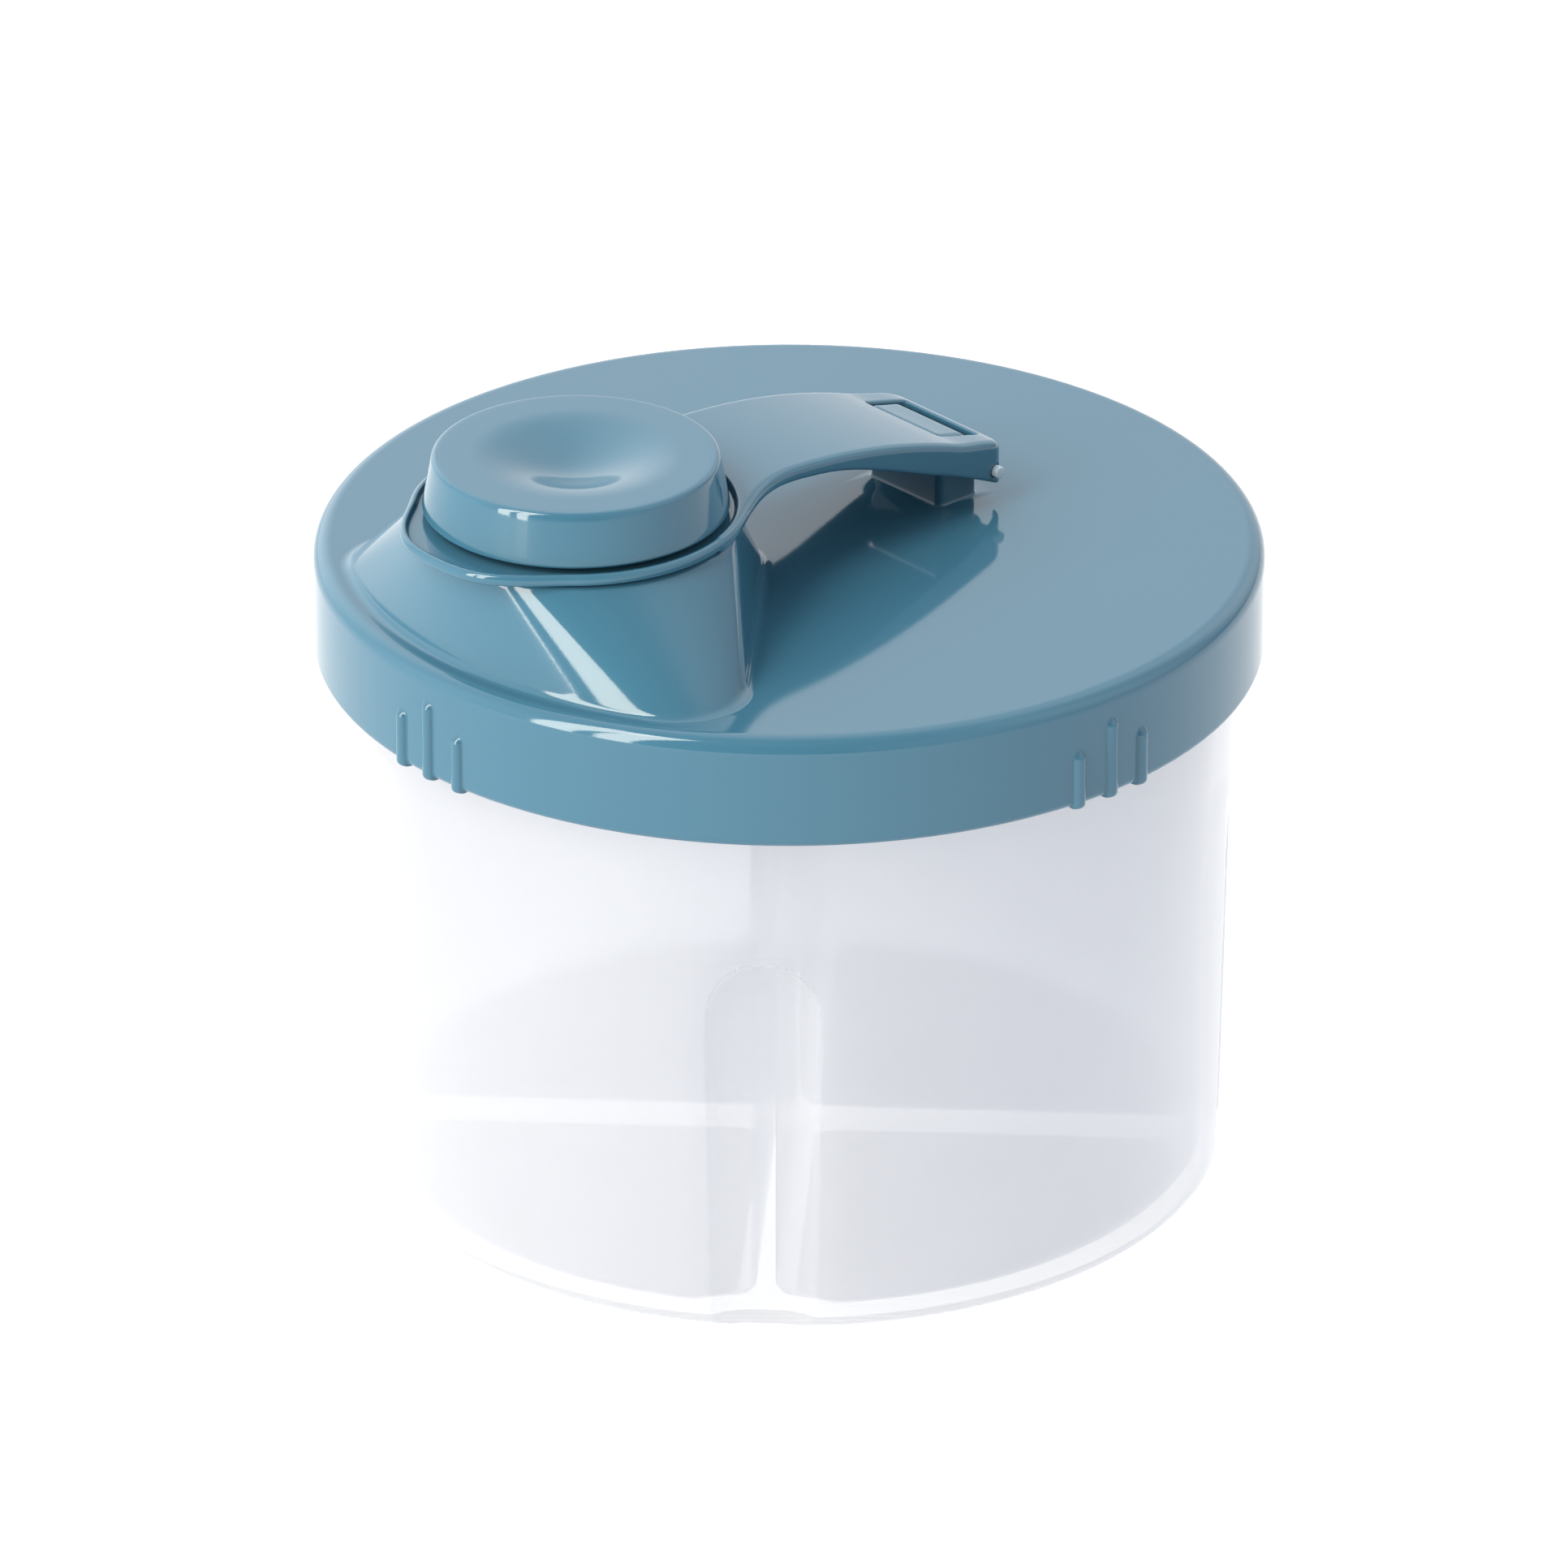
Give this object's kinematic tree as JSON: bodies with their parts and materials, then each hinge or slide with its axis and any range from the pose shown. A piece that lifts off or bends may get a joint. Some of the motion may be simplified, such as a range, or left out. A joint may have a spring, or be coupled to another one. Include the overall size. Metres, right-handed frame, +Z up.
{
  "type": "formula dispenser",
  "caption": "Round milk powder dispenser: a divided pot, a lid that turns on it with a pouring chute, and a hinged flip cap with a dished knob.",
  "frame": {"origin": "centre of the pot's base, on the surface it stands on", "axes": "+Z up; -Y towards the chute and the flip cap's thumb edge; the flip cap's hinge runs along X on the +Y side"},
  "size_m": [0.1232, 0.1232, 0.108],
  "materials": {
    "container_pp": "translucent milky polypropylene, smooth",
    "lid_plastic": "glossy blue moulded plastic",
    "silicone": "soft translucent white silicone",
    "pin_plastic": "pale smooth plastic rod"
  },
  "bodies": {
    "pot": {"container": "container_pp"},
    "rim_ring": {"rim_seal": "silicone"},
    "lid": {"lid": "lid_plastic", "hinge_pin": "pin_plastic"},
    "cap": {"flip_cap": "lid_plastic", "thumb_knob": "lid_plastic", "spout_seal": "silicone"}
  },
  "joints": [
    {"name": "lid_lift", "type": "slide", "parent": "pot", "child": "rim_ring", "axis": [0, 0, 1], "range_m": [0, 0.05]},
    {"name": "lid_turn", "type": "hinge", "parent": "rim_ring", "child": "lid", "pos_m": [0, 0, 0.0855], "axis": [0, 0, 1], "continuous": true},
    {"name": "cap_flip", "type": "hinge", "parent": "lid", "child": "cap", "pos_m": [0, 0.0262, 0.0901], "axis": [-1, 0, 0], "range_deg": [0, 110]}
  ]
}
